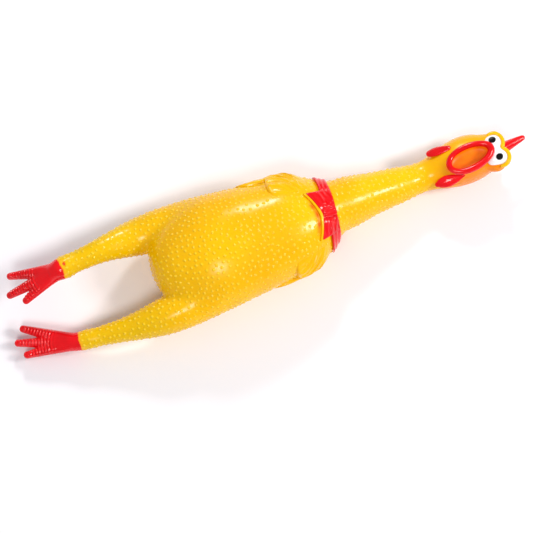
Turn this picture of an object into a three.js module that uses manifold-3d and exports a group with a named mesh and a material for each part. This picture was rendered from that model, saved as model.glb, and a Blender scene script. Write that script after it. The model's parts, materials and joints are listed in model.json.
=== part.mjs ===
// Screaming rubber chicken, lying on its back: a hollow vinyl skin that flexes at the neck, legs, wings and
// belly, painted trim moulded on it, and a reed sound unit plugged into its throat.
// Millimetres. +X runs from the feet to the comb, +Y is the chicken's right, +Z is up, out of the belly.
// The skin is one moulding. It is split here at the places where it bends, and each bend is a ball end
// that turns inside the next piece's rim.
import * as THREE from "three";
import { mergeVertices } from "three/addons/utils/BufferGeometryUtils.js";
import Module from "manifold-3d";

const wasm = await Module();
wasm.setup();

// ---------------------------------------------------------------- driving dimensions
const WALL = 1.8; // vinyl skin
const GAP = 0.4; // clearance between neighbouring solids
const AROUND = 20; // facets round the trunk
const FAR = 500; // longer than the chicken, for cutting blocks

// The trunk's outline from the tail end to the crown: [x, back z, belly z, half width].
const TRUNK = [
  [-90, 24, 32, 4],
  [-88.5, 17, 39, 13],
  [-84.5, 10, 46, 22],
  [-77, 4, 52, 31],
  [-65, 0, 57, 39],
  [-47, -1.5, 61.5, 42.8],
  [-22, -1.5, 63, 40.8],
  [2, -1.5, 61, 37.6],
  [20, -0.5, 58, 35.5],
  [31, 1, 54.5, 32.4],
  [38, 2.5, 51.5, 29],
  [43, 4.5, 49, 25.2],
  [50, 6, 47, 20.6],
  [65, 6.5, 43.5, 18.4],
  [80, 7, 38.8, 15.8],
  [102, 6.2, 33, 13.4],
  [125, 5, 28.2, 11.5],
  [133, 2.8, 31.5, 13.2],
  [141, 0.6, 34.2, 15.6],
  [149, -0.8, 35.8, 17.2],
  [157, -1.2, 36.6, 17.7],
  [165, -0.8, 37, 16.7],
  [172, 1, 37, 14.4],
  [178, 5, 36, 11.6],
  [183, 11, 33, 7.6],
  [186, 18, 27, 3],
];

// Neck bends: pivot x and the half angle that each allows.
const NECK_BASE = { x: 54, bend: 22 };
const NECK_MID = { x: 80, bend: 25 };
const THROAT = { x: 106, bend: 22 };

// Legs: the hip, the length to the knee, and the radius at each bend.
const HIP = { x: -91, y: 31.3, z: 24.5 };
const THIGH_LENGTH = 31;
const HIP_RADIUS = 13.4;
const KNEE_RADIUS = 9;
const ANKLE_RADIUS = 6.4;
const LEG_BEND = 30;
// How each leg lies: yaw is towards the other leg and lift is upwards, in degrees, at each bend in turn.
// The right shin is squeezed a little shorter where it arches off the table.
const LEGS = {
  left: {
    side: -1, shin: 36,
    hip: { yaw: 3.5, lift: -9.5 }, knee: { yaw: 4.5, lift: 1 }, ankle: { yaw: 14, lift: 2 },
  },
  right: {
    side: 1, shin: 32.5,
    hip: { yaw: 6.5, lift: 21 }, knee: { yaw: 0.5, lift: -14 }, ankle: { yaw: -6.5, lift: -29 },
  },
};

// Feet: three toes on each, from the inner one out, as yaw and reach from the ankle.
const TOES = {
  left: [{ yaw: 15.5, reach: 44 }, { yaw: 0, reach: 46.5 }, { yaw: -15, reach: 40.5 }],
  right: [{ yaw: 18, reach: 38 }, { yaw: 0, reach: 46.5 }, { yaw: -18.5, reach: 42.5 }],
};
const TOE_RADIUS = 3.6;
const FOOT_HEIGHT = 3.5; // half the thickness of the sole

// The bow and the wings sit rolled round the body: its belly seam lies a little towards the left side.
const ROLL = 16;

// Wings: low plates on the flanks. The middle is given as degrees round from the belly seam.
const WING = { x: 13, half_length: 26, half_width: 16, middle: 76, thick: 2.6 };

// Belly panel that gives when the chicken is squeezed.
const BELLY = { x: -26, length: 68, width: 50 };

// Collar and bow round the neck's root.
const COLLAR = { from: 42.6, to: 50.4, thick: 1.4 };
const BOW = { narrow: 40.5, wide: 33.5, front: 49.5, half: 16.5, thick: 2.6 };
const KNOT = { half: 3.4, from: 39, to: 51.5, thick: 3.8 };

// Face.
const MOUTH = {
  x: 156.4, y: -1.2, z: 36.9, turn: 6.5, half_length: 16.6, half_width: 9.3, depth: 23, draft: 0.8,
};
const LIP = { radius: 2.1, z: 36.2, tilt: 5 };
const EYE = { x: 177, middle: -2.2, y: 8, z: 32.8, radius: 7.6 };
const BROW = { radius: 9.4, back: 2.2, out: 0.9, down: 1.6 };
const PUPIL = { radius: 2.3, x: 0.2, inset: 1.1, thick: 0.6 };
const COMB = { thickness: 4.8, root: 182, y: -1.6, turn: 8 };
const WATTLE = { half_length: 10.8, half_width: 4.6, half_thick: 3 };
const WATTLE_AT = { left: [137, -12.2, 27.5], right: [138, 13.4, 24] };

// Sound unit, on an axis along X in the throat.
const SOUND = { z: 17, from: 113.5, to: 139.5, outer: 7.2, inner: 5.9, rib: 8.9, port: 2.2 };
const REED = { root: 133, tip: 118.5, width: 6, thick: 0.35, z: 17.45 };

// ---------------------------------------------------------------- solids and booleans
const radians = THREE.MathUtils.degToRad;

// A closed geometry as a manifold solid with its faces pointing out.
function solid(geometry) {
  const bare = geometry.clone();
  for (const name of Object.keys(bare.attributes)) {
    if (name !== "position") bare.deleteAttribute(name);
  }
  const merged = mergeVertices(bare, 1e-4);
  const vertProperties = new Float32Array(merged.attributes.position.array);
  const triVerts = new Uint32Array(merged.index.array);
  const made = new wasm.Manifold(new wasm.Mesh({ numProp: 3, vertProperties, triVerts }));
  if (made.volume() > 0) return made;
  for (let i = 0; i < triVerts.length; i += 3) {
    [triVerts[i + 1], triVerts[i + 2]] = [triVerts[i + 2], triVerts[i + 1]];
  }
  return new wasm.Manifold(new wasm.Mesh({ numProp: 3, vertProperties, triVerts }));
}

function geometryOf(made) {
  const { numProp, numVert, vertProperties, triVerts } = made.getMesh();
  const positions = new Float32Array(numVert * 3);
  for (let i = 0; i < numVert; i += 1) {
    positions.set(vertProperties.subarray(i * numProp, i * numProp + 3), i * 3);
  }
  return new THREE.BufferGeometry()
    .setAttribute("position", new THREE.BufferAttribute(positions, 3))
    .setIndex(new THREE.BufferAttribute(triVerts, 1));
}

// A block between two corners.
function block(low, high) {
  const size = high.map((h, i) => h - low[i]);
  const middle = high.map((h, i) => (h + low[i]) / 2);
  return solid(new THREE.BoxGeometry(...size).translate(...middle));
}

const pastX = (x) => block([x, -FAR, -FAR], [FAR, FAR, FAR]);
const beforeX = (x) => block([-FAR, -FAR, -FAR], [x, FAR, FAR]);
const belowZ = (z) => block([-FAR, -FAR, -FAR], [FAR, FAR, z]);

// A ball with its poles along X.
function ball(radius, x, y, z, facets = 16) {
  return solid(new THREE.SphereGeometry(radius, facets, facets / 2).rotateZ(Math.PI / 2).translate(x, y, z));
}

// A turned piece on an axis along X: the profile is a closed list of [x, radius].
function turned(profile, y, z, facets = 16) {
  const points = [...profile, profile[0]].map(([x, r]) => new THREE.Vector2(r, x));
  return solid(new THREE.LatheGeometry(points, facets).rotateZ(-Math.PI / 2).translate(0, y, z));
}

// The profile of a plain rod from one x to another, for a turned piece.
const rod = (from, to, radius) => [[from, 0], [from, radius], [to, radius], [to, 0]];

// A solid turned about an axis along X, at a height z, by an angle in degrees.
function rolled(made, z, angle) {
  return made.translate([0, 0, -z]).rotate([angle, 0, 0]).translate([0, 0, z]);
}

// A solid turned about an upright axis at a given x, and moved sideways.
function turnedAbout(made, { x, y, turn }) {
  return made.translate([-x, 0, 0]).rotate([0, 0, turn]).translate([x, y, 0]);
}

// A prism along Z over an ellipse.
function ellipsePrism(x, halfLength, halfWidth, low, high, topScale = 1) {
  const prism = new THREE.CylinderGeometry(topScale, 1, high - low, 28).rotateX(Math.PI / 2);
  return solid(prism.scale(halfLength, halfWidth, 1).translate(x, 0, (low + high) / 2));
}

// A loft through rings of equal length, closed by a fan at each end.
function loft(rings) {
  const count = rings[0].length;
  const points = rings.flat();
  const faces = [];
  for (let i = 0; i + 1 < rings.length; i += 1) {
    for (let j = 0; j < count; j += 1) {
      const k = (j + 1) % count;
      const [a, b, c, d] = [i * count + j, i * count + k, (i + 1) * count + j, (i + 1) * count + k];
      faces.push(a, b, d, a, d, c);
    }
  }
  for (const [ring, flip] of [[0, true], [rings.length - 1, false]]) {
    const centre = rings[ring].reduce((sum, p) => sum.add(p), new THREE.Vector3()).divideScalar(count);
    points.push(centre);
    for (let j = 0; j < count; j += 1) {
      const [a, b] = [ring * count + j, ring * count + ((j + 1) % count)];
      faces.push(points.length - 1, flip ? b : a, flip ? a : b);
    }
  }
  return solid(new THREE.BufferGeometry().setFromPoints(points).setIndex(faces));
}

// A ring in a plane across X.
function ring(x, y, z, halfWidth, halfHeight, facets) {
  return Array.from({ length: facets }, (_, i) => {
    const turn = (2 * Math.PI * i) / facets;
    return new THREE.Vector3(x, y + halfWidth * Math.cos(turn), z + halfHeight * Math.sin(turn));
  });
}

// Rows of numbers that start with x, read at any x by a smooth curve through them.
function along(rows, x) {
  const last = rows.length - 1;
  let i = rows.findIndex((row, k) => k < last && x <= rows[k + 1][0]);
  if (i < 0) i = last - 1;
  const [a, b] = [rows[i], rows[i + 1]];
  const span = b[0] - a[0];
  const t = THREE.MathUtils.clamp((x - a[0]) / span, 0, 1);
  const slope = (k, column) => {
    const [before, after] = [rows[Math.max(k - 1, 0)], rows[Math.min(k + 1, last)]];
    return (after[column] - before[column]) / (after[0] - before[0]);
  };
  return a.map((_, column) => {
    const [p, q] = [a[column], b[column]];
    const [m, n] = [slope(i, column) * span, slope(i + 1, column) * span];
    return p + m * t + (3 * (q - p) - 2 * m - n) * t ** 2 + (2 * (p - q) + m + n) * t ** 3;
  });
}

// ---------------------------------------------------------------- trunk: torso, neck and head in one outline
// The trunk's solid from one x to another, grown outwards by an offset.
function trunk(from, to, grow) {
  const between = TRUNK.map((row) => row[0]).filter((x) => x > from + 1 && x < to - 1);
  const rings = [from, ...between, to].map((x) => {
    const [, back, belly, half] = along(TRUNK, x);
    return ring(x, 0, (back + belly) / 2, half + grow, (belly - back) / 2 + grow, AROUND);
  });
  return loft(rings);
}

const TAIL = TRUNK[0][0];
const CROWN = TRUNK[TRUNK.length - 1][0];

function trunkMiddle(x) {
  const [, back, belly, half] = along(TRUNK, x);
  return { z: (back + belly) / 2, radius: Math.min(half, (belly - back) / 2) };
}

// The skin's outside and inside. The back is pressed flat where it lies on a table.
const outerTrunk = (from, to) => trunk(from, to, 0).subtract(belowZ(0));
const innerTrunk = (from, to) => trunk(from, to, -WALL).subtract(belowZ(WALL));

// A ball end round a pivot on the trunk: a spherical shell, open towards the tail.
function trunkBall({ x }) {
  const { z, radius } = trunkMiddle(x);
  const shell = ball(radius, x, 0, z).subtract(ball(radius - WALL, x, 0, z));
  return shell.subtract(pastX(x + 0.5)).subtract(beforeX(x - 0.72 * radius));
}

// What a neighbour has to leave free for a ball end.
function trunkBallRoom({ x }) {
  const { z, radius } = trunkMiddle(x);
  return ball(radius + GAP, x, 0, z);
}

// Where the piece before a ball end stops, so that the bend has room.
const rim = ({ x, bend }) => x - trunkMiddle(x).radius * Math.sin(radians(bend)) - GAP;

// A neck piece: a ball end at its own pivot and an open rim before the next one.
function neckPiece(own, next) {
  const end = rim(next);
  const tube = outerTrunk(own.x, end).subtract(innerTrunk(own.x - 1, end + 1));
  return tube.add(trunkBall(own)).subtract(trunkBallRoom(next));
}

// ---------------------------------------------------------------- torso
// The root of a leg on the torso: [x, y, z, radius] from inside the flank to the hip.
const LEG_ROOT = [
  [-88, 31.3, 24.5, 13.9],
  [-80, 31, 24.8, 15],
  [-66, 29, 26, 17],
  [-46, 25, 27, 18],
];

function legRoot(side, grow, from, to) {
  const rings = [];
  for (let i = 0; i <= 3; i += 1) {
    const x = from + ((to - from) * i) / 3;
    const [, y, z, radius] = along(LEG_ROOT, x);
    rings.push(ring(x, side * y, z, radius + grow, radius + grow, 18));
  }
  return loft(rings);
}

// Space kept free for a thigh to swing at the hip.
function hipRoom(side) {
  const clear = HIP.x + HIP_RADIUS * Math.sin(radians(LEG_BEND)) + GAP;
  const swing = turned(rod(-FAR, clear, HIP_RADIUS + 2.2), side * HIP.y, HIP.z);
  return swing.add(ball(HIP_RADIUS + GAP, HIP.x, side * HIP.y, HIP.z));
}

function torsoShell() {
  const end = rim(NECK_BASE);
  const start = LEG_ROOT[0][0];
  let outside = outerTrunk(TAIL, end);
  let inside = innerTrunk(TAIL + WALL + 1, end + 1);
  for (const side of [-1, 1]) {
    outside = outside.add(legRoot(side, 0, start, -46));
    inside = inside.add(legRoot(side, -WALL, start - 1, -46));
  }
  let shell = outside.subtract(inside).subtract(trunkBallRoom(NECK_BASE));
  for (const side of [-1, 1]) shell = shell.subtract(hipRoom(side));
  return shell;
}

const bellyPrism = (gap) => ellipsePrism(BELLY.x, BELLY.length / 2 - gap, BELLY.width / 2 - gap, 35, 80);

// ---------------------------------------------------------------- collar and bow
// A sheet that follows the trunk's surface between two offsets, from one x to another.
function overTrunk(from, to, low, high) {
  const inner = trunk(from - 2, to + 2, low);
  return trunk(from, to, high).subtract(inner).subtract(belowZ(0));
}

const collar = () => overTrunk(COLLAR.from, COLLAR.to, GAP, GAP + COLLAR.thick);

const BOW_LOW = GAP * 2 + COLLAR.thick; // the bow lies over the collar
const BOW_AXIS = trunkMiddle((BOW.wide + BOW.front) / 2).z;

// One loop of the bow, narrow at the knot and wide at its end, as a prism over the chest.
function bowLoop(side) {
  const start = KNOT.half + GAP;
  const outline = new THREE.Shape();
  outline.moveTo(BOW.front, side * start);
  outline.quadraticCurveTo(BOW.front + 0.8, side * (BOW.half * 0.6), BOW.front - 1.5, side * BOW.half);
  outline.lineTo(BOW.wide + 1.5, side * BOW.half);
  outline.quadraticCurveTo(BOW.wide - 1, side * (BOW.half - 1.5), BOW.wide, side * (BOW.half - 4));
  outline.quadraticCurveTo(BOW.narrow - 0.5, side * (BOW.half * 0.5), BOW.narrow, side * start);
  const prism = new THREE.ExtrudeGeometry(outline, { depth: 60, bevelEnabled: false, curveSegments: 8 });
  const window = rolled(solid(prism.translate(0, 0, 28)), BOW_AXIS, ROLL);
  return overTrunk(BOW.wide - 3, BOW.front + 3, BOW_LOW, BOW_LOW + BOW.thick).intersect(window);
}

function bowKnot() {
  const window = rolled(block([KNOT.from, -KNOT.half, 28], [KNOT.to, KNOT.half, 90]), BOW_AXIS, ROLL);
  return overTrunk(KNOT.from - 3, KNOT.to + 3, BOW_LOW, BOW_LOW + KNOT.thick).intersect(window);
}

// ---------------------------------------------------------------- head
const headOuter = (grow) => trunk(THROAT.x + 1, CROWN, grow).subtract(belowZ(0));

// The mouth's bowl, widest at the lips.
function mouthBowl(grow) {
  const [low, high] = [MOUTH.z - MOUTH.depth - grow, MOUTH.z + 6];
  const length = (MOUTH.half_length + grow) * MOUTH.draft;
  const width = (MOUTH.half_width + grow) * MOUTH.draft;
  const bowl = ellipsePrism(MOUTH.x, length, width, low, high, 1 / MOUTH.draft);
  return turnedAbout(bowl, MOUTH);
}

const soundPort = (radius) => turned(rod(SOUND.to - 3, SOUND.to + 12, radius), 0, SOUND.z);

function headShell() {
  const outside = outerTrunk(THROAT.x, CROWN);
  const inside = innerTrunk(THROAT.x - 1, CROWN - WALL - 1);
  const skin = outside.subtract(inside).add(trunkBall(THROAT));
  return skin.subtract(mouthBowl(GAP)).subtract(soundRoom(THROAT.x + 10));
}

// Room for the barrel's ribs where the throat is narrowest.
const soundRoom = (from) => turned(rod(from, SOUND.to + 1, SOUND.rib + GAP), 0, SOUND.z);

function mouthLining() {
  const bowl = mouthBowl(0).subtract(mouthBowl(-1.5)).intersect(headOuter(0));
  return bowl.subtract(soundPort(SOUND.port + 0.6));
}

// An oval lip: a torus whose circle becomes an ellipse and whose section stays round.
function mouthLip() {
  const torus = new THREE.TorusGeometry(10, LIP.radius, 8, 32);
  const at = torus.attributes.position;
  for (let i = 0; i < at.count; i += 1) {
    const [x, y] = [at.getX(i), at.getY(i)];
    const [turn, out] = [Math.atan2(y, x), Math.hypot(x, y) - 10];
    const [c, s] = [Math.cos(turn), Math.sin(turn)];
    const normal = new THREE.Vector2(MOUTH.half_width * c, MOUTH.half_length * s).normalize();
    const [px, py] = [MOUTH.half_length * c + out * normal.x, MOUTH.half_width * s + out * normal.y];
    at.setXYZ(i, px, py, at.getZ(i) * 1.1);
  }
  torus.rotateY(radians(-LIP.tilt)).translate(MOUTH.x, 0, LIP.z);
  return turnedAbout(solid(torus), MOUTH).subtract(headOuter(0.3));
}

const eyeY = (side) => EYE.middle + side * EYE.y;
const eyeAt = (side, radius) => ball(radius, EYE.x, eyeY(side), EYE.z, 20);

const eyeball = (side) => eyeAt(side, EYE.radius).subtract(headOuter(0.3)).subtract(mouthLipRoom());

// Space kept free round the lips.
function mouthLipRoom() {
  const [length, width] = [MOUTH.half_length + LIP.radius + GAP, MOUTH.half_width + LIP.radius + GAP];
  return turnedAbout(ellipsePrism(MOUTH.x, length, width, MOUTH.z - 8, MOUTH.z + 12), MOUTH);
}

function pupil(side) {
  const y = eyeY(side) - side * PUPIL.inset;
  const disc = new THREE.CylinderGeometry(PUPIL.radius, PUPIL.radius, 20, 20).rotateX(Math.PI / 2);
  const cap = eyeAt(side, EYE.radius + 0.3 + PUPIL.thick).subtract(eyeAt(side, EYE.radius + 0.3));
  return cap.intersect(solid(disc.translate(EYE.x + PUPIL.x, y, EYE.z + 12)));
}

// The hood over both eyes, joined at the middle.
function brow() {
  const [x, z] = [EYE.x + BROW.back, EYE.z - BROW.down];
  const hoods = [-1, 1].map((side) => ball(BROW.radius, x, eyeY(side) + side * BROW.out, z, 14));
  const clear = [-1, 1].map((side) => eyeAt(side, EYE.radius + 0.6 + PUPIL.thick));
  const bridge = ball(BROW.radius * 0.62, x + 1.5, EYE.middle, z - 1, 10);
  const front = block([EYE.x - 30, -FAR, -FAR], [EYE.x - 3.4, FAR, FAR]);
  return hoods[0].add(hoods[1]).add(bridge).subtract(clear[0]).subtract(clear[1])
    .subtract(headOuter(0.3)).subtract(mouthLipRoom()).subtract(front).subtract(combBlade(0.3));
}

// The comb's outline in the XZ plane: a long front point and two short ones behind it.
function combBlade(grow) {
  const outline = new THREE.Shape();
  outline.moveTo(178, 31 + grow);
  outline.quadraticCurveTo(189, 32.7 + grow, 201, 30.4 + grow);
  outline.quadraticCurveTo(203.5 + grow, 28.5, 200.5, 26.6);
  outline.quadraticCurveTo(191, 25.5, 189.5, 22.5);
  outline.quadraticCurveTo(193.5 + grow, 19.5, 191.5 + grow, 16.2);
  outline.quadraticCurveTo(186, 16.5, 184.5, 13.5);
  outline.quadraticCurveTo(187 + grow, 9.5, 183.5 + grow, 7 - grow);
  outline.quadraticCurveTo(178, 8, 172, 12);
  outline.lineTo(172, 28);
  const depth = COMB.thickness - 2 + 2 * grow;
  const blade = new THREE.ExtrudeGeometry(outline, {
    depth, bevelThickness: 1, bevelSize: 0.6, bevelOffset: -0.6, bevelSegments: 2, curveSegments: 6,
  });
  const upright = solid(blade.translate(0, 0, -depth / 2).rotateX(Math.PI / 2));
  return turnedAbout(upright, { x: COMB.root, y: COMB.y, turn: COMB.turn });
}

const comb = () => combBlade(0).subtract(headOuter(0.3));

// A flat drop beside the mouth's corner, wide at its free end.
function wattle(name, side) {
  const { half_length: length, half_width: width, half_thick: thick } = WATTLE;
  const drop = new THREE.SphereGeometry(1, 16, 10).rotateZ(Math.PI / 2);
  const at = drop.attributes.position;
  for (let i = 0; i < at.count; i += 1) {
    const narrow = 1 - 0.45 * Math.max(0, at.getX(i));
    at.setXYZ(i, at.getX(i), at.getY(i) * narrow, at.getZ(i) * narrow);
  }
  drop.scale(length, thick, width);
  drop.rotateX(side * radians(38)).rotateY(radians(-22)).rotateZ(side * radians(-8));
  return solid(drop.translate(...WATTLE_AT[name])).subtract(headOuter(0.3)).subtract(mouthLipRoom());
}

// ---------------------------------------------------------------- sound unit
function soundBarrel() {
  const { from, to, outer, inner, rib, port } = SOUND;
  const ribs = [from + 5, from + 11, from + 17];
  const outside = ribs.flatMap((x) => [[x, outer], [x + 0.6, rib], [x + 1.4, rib], [x + 2, outer]]);
  const inside = [[to, outer], [to, port], [to - 1.5, port], [to - 1.5, inner]];
  return turned([[from, inner], [from, outer], ...outside, ...inside], 0, SOUND.z);
}

function soundCap() {
  const { from, inner, rib } = SOUND;
  const face = from - GAP;
  const flange = [[face, 1], [face - 1.6, 1], [face - 1.6, rib], [face, rib]];
  const [loose, bore] = [inner - GAP, inner - 1.5];
  const plug = [[face, loose], [face + 2.6, loose], [face + 2.6, bore], [face, bore]];
  let drilled = turned([...flange, ...plug], 0, SOUND.z);
  for (let i = 0; i < 6; i += 1) {
    const [y, z] = [3 * Math.cos((i * Math.PI) / 3), 3 * Math.sin((i * Math.PI) / 3)];
    drilled = drilled.subtract(turned(rod(face - 5, face + 5, 0.8), y, SOUND.z + z, 12));
  }
  return drilled;
}

// The half-round board that the reed beats on, with its air channel.
function reedBoard() {
  const radius = SOUND.inner - GAP;
  const [from, to] = [SOUND.from + 3.4, SOUND.to - 2];
  const flat = SOUND.z - 0.1;
  const channel = block([from + 3, -1.8, SOUND.z - 3], [FAR, 1.8, flat + 1]);
  const aboveFlat = block([-FAR, -FAR, flat], [FAR, FAR, FAR]);
  return turned(rod(from, to, radius), 0, SOUND.z).subtract(aboveFlat).subtract(channel);
}

function reed() {
  const half = REED.width / 2;
  return block([REED.tip, -half, REED.z], [REED.root + 3, half, REED.z + REED.thick]);
}

// The wedge that holds the reed's root down on the board.
function reedWedge() {
  const radius = SOUND.inner - GAP;
  const held = turned(rod(REED.root, SOUND.to - 2, radius), 0, SOUND.z);
  return held.subtract(belowZ(REED.z + REED.thick + 0.3));
}

// ---------------------------------------------------------------- wings
// A folded wing: an oval plate that follows the flank.
function wing(side) {
  const angle = radians(side * WING.middle - ROLL);
  const [y, z] = [35 * Math.sin(angle), trunkMiddle(WING.x).z + 35 * Math.cos(angle)];
  const prism = new THREE.CylinderGeometry(1, 1, 40, 24).scale(WING.half_length, 1, WING.half_width);
  prism.rotateX(Math.PI / 2 - angle).translate(WING.x, y, z);
  const [low, high] = [GAP + 0.2, GAP + 0.2 + WING.thick];
  return overTrunk(WING.x - WING.half_length, WING.x + WING.half_length, low, high).intersect(solid(prism));
}

// ---------------------------------------------------------------- legs
// A hollow tube along -X with a ball end at its origin and an open rim before the next pivot.
function legPiece(radius, length, nextRadius) {
  const end = -(length - nextRadius * Math.sin(radians(LEG_BEND)) - GAP);
  const half = (x) => {
    const share = Math.sin((Math.PI / 2) * THREE.MathUtils.clamp(-x / length, 0, 1));
    return THREE.MathUtils.lerp(radius, nextRadius, share ** 1.1);
  };
  const tube = (grow, from, to) => {
    const rings = [];
    for (let i = 0; i <= 3; i += 1) {
      const x = from + ((to - from) * i) / 3;
      rings.push(ring(x, 0, 0, half(x) + grow, half(x) + grow, 16));
    }
    return loft(rings);
  };
  const shell = ball(radius, 0, 0, 0).subtract(ball(radius - WALL, 0, 0, 0));
  const cup = shell.subtract(beforeX(-0.5)).subtract(pastX(0.72 * radius));
  const piece = tube(0, 0, end).subtract(tube(-WALL, 1, end - 1)).add(cup);
  return piece.subtract(ball(nextRadius + GAP, -length, 0, 0));
}

// A foot: a flattened sole and three toes that fan out from the ankle, solid vinyl.
function foot(name, side) {
  const ankle = ball(ANKLE_RADIUS, 0, 0, 0);
  const sole = loft([
    ring(-1, 0, 0, ANKLE_RADIUS, ANKLE_RADIUS, 16),
    ring(-7, 0, -0.6, ANKLE_RADIUS * 1.02, ANKLE_RADIUS * 0.8, 16),
    ring(-15, 0, -1.2, ANKLE_RADIUS * 1.3, FOOT_HEIGHT * 1.1, 16),
    ring(-23, 0, -1.4, ANKLE_RADIUS * 1.6, FOOT_HEIGHT, 16),
    ring(-27, 0, -1.4, ANKLE_RADIUS * 1.5, FOOT_HEIGHT * 0.8, 16),
  ]);
  let made = ankle.add(sole);
  for (const { yaw, reach } of TOES[name]) {
    const tip = reach - TOE_RADIUS;
    const toe = new THREE.CapsuleGeometry(TOE_RADIUS, tip - 12, 3, 10).rotateZ(Math.PI / 2);
    toe.scale(1, 1, FOOT_HEIGHT / TOE_RADIUS).translate(-(tip + 12) / 2, 0, -1.4);
    toe.rotateZ(side * radians(yaw));
    made = made.add(solid(toe));
  }
  return made;
}

// ---------------------------------------------------------------- materials and assembly
const paint = (color, roughness) => new THREE.MeshStandardMaterial({ color, roughness, metalness: 0 });
const YELLOW = paint(0xffc400, 0.3);
const RED = paint(0xe8000e, 0.25);
const ORANGE = paint(0xff8a00, 0.35);
const WHITE = paint(0xffffff, 0.25);
const BLACK = paint(0x0a0a0a, 0.2);
const IVORY = paint(0xe9e4d4, 0.45);
const FILM = paint(0xf4f4ee, 0.2);

function mesh(name, made, material) {
  const part = new THREE.Mesh(geometryOf(made), material);
  part.name = name;
  return part;
}

const chicken = new THREE.Group();

const shell = torsoShell();
chicken.add(mesh("torso_skin", shell.subtract(bellyPrism(0)), YELLOW));
chicken.add(mesh("belly_panel", shell.intersect(bellyPrism(GAP)), YELLOW));
chicken.add(mesh("neck_collar", collar(), RED));
chicken.add(mesh("left_bow_loop", bowLoop(-1), RED));
chicken.add(mesh("right_bow_loop", bowLoop(1), RED));
chicken.add(mesh("bow_knot", bowKnot(), RED));

chicken.add(mesh("lower_neck_skin", neckPiece(NECK_BASE, NECK_MID), YELLOW));
chicken.add(mesh("upper_neck_skin", neckPiece(NECK_MID, THROAT), YELLOW));

chicken.add(mesh("head_skin", headShell(), YELLOW));
chicken.add(mesh("mouth_lining", mouthLining(), ORANGE));
chicken.add(mesh("mouth_lip", mouthLip(), RED));
chicken.add(mesh("brow_ridge", brow(), YELLOW));
chicken.add(mesh("comb", comb(), RED));
for (const [name, side] of [["left", -1], ["right", 1]]) {
  chicken.add(mesh(`${name}_eyeball`, eyeball(side), WHITE));
  chicken.add(mesh(`${name}_pupil`, pupil(side), BLACK));
  chicken.add(mesh(`${name}_wattle`, wattle(name, side), RED));
  chicken.add(mesh(`${name}_wing`, wing(side), YELLOW));
}

chicken.add(mesh("sound_barrel", soundBarrel(), IVORY));
chicken.add(mesh("sound_inlet_cap", soundCap(), IVORY));
chicken.add(mesh("reed_board", reedBoard(), IVORY));
chicken.add(mesh("reed_wedge", reedWedge(), IVORY));
chicken.add(mesh("reed", reed(), FILM));

// A leg's three pieces, each in the frame of the bend before it.
for (const [name, leg] of Object.entries(LEGS)) {
  const bend = ({ yaw, lift }, x, y, z) => {
    const group = new THREE.Group();
    group.position.set(x, y, z);
    group.rotation.set(0, radians(lift), leg.side * radians(yaw), "ZYX");
    return group;
  };
  const hip = bend(leg.hip, HIP.x, leg.side * HIP.y, HIP.z);
  const knee = bend(leg.knee, -THIGH_LENGTH, 0, 0);
  const ankle = bend(leg.ankle, -leg.shin, 0, 0);
  [hip.name, knee.name, ankle.name] = [`${name}_hip`, `${name}_knee`, `${name}_ankle`];
  hip.add(mesh(`${name}_thigh_skin`, legPiece(HIP_RADIUS, THIGH_LENGTH, KNEE_RADIUS), YELLOW));
  knee.add(mesh(`${name}_shin_skin`, legPiece(KNEE_RADIUS, leg.shin, ANKLE_RADIUS), YELLOW));
  ankle.add(mesh(`${name}_foot`, foot(name, leg.side), RED));
  knee.add(ankle);
  hip.add(knee);
  chicken.add(hip);
}

export default chicken;
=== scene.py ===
"""A squeaking vinyl rubber chicken on its back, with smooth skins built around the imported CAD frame.

Each surface is the zero level of a field: a function of position, in millimetres, that is negative
inside and close to the distance from the surface. The yellow skin is one surface, cut into pieces
where it bends, and its pimples are small domes set on it.
"""
import json
import math

import bpy
import numpy as np
from mathutils import Matrix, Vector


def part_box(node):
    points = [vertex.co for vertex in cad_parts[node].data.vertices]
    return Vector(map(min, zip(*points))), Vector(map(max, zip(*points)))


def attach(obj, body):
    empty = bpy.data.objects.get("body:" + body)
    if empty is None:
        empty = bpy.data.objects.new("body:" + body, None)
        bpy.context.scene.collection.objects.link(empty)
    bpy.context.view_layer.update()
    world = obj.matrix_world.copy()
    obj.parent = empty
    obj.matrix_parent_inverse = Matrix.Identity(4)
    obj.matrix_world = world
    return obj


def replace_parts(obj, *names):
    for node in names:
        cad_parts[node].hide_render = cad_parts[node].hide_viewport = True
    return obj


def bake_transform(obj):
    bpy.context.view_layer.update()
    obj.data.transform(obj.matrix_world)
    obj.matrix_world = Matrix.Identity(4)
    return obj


MM = 0.001
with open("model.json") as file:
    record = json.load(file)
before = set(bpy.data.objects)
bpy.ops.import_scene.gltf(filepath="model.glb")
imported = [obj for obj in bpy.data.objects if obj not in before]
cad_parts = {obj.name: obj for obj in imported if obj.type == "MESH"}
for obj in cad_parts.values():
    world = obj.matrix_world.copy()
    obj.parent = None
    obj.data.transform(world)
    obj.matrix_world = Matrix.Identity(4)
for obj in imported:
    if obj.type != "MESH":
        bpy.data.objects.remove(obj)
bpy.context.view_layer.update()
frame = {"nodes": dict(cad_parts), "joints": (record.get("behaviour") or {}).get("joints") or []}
JOINTS = {joint["name"]: joint for joint in frame["joints"]}
SIDES = (("left", -1.0), ("right", 1.0))


def joint_place(name):
    return np.array(JOINTS[name]["pos_m"]) / MM


def node_box(name):
    low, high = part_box(name)
    return np.array(low) / MM, np.array(high) / MM


# ---------------------------------------------------------------- driving sizes, in millimetres
TAIL_X, CROWN_X = -90.2, 186.2  # the blunt ends of the trunk
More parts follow.
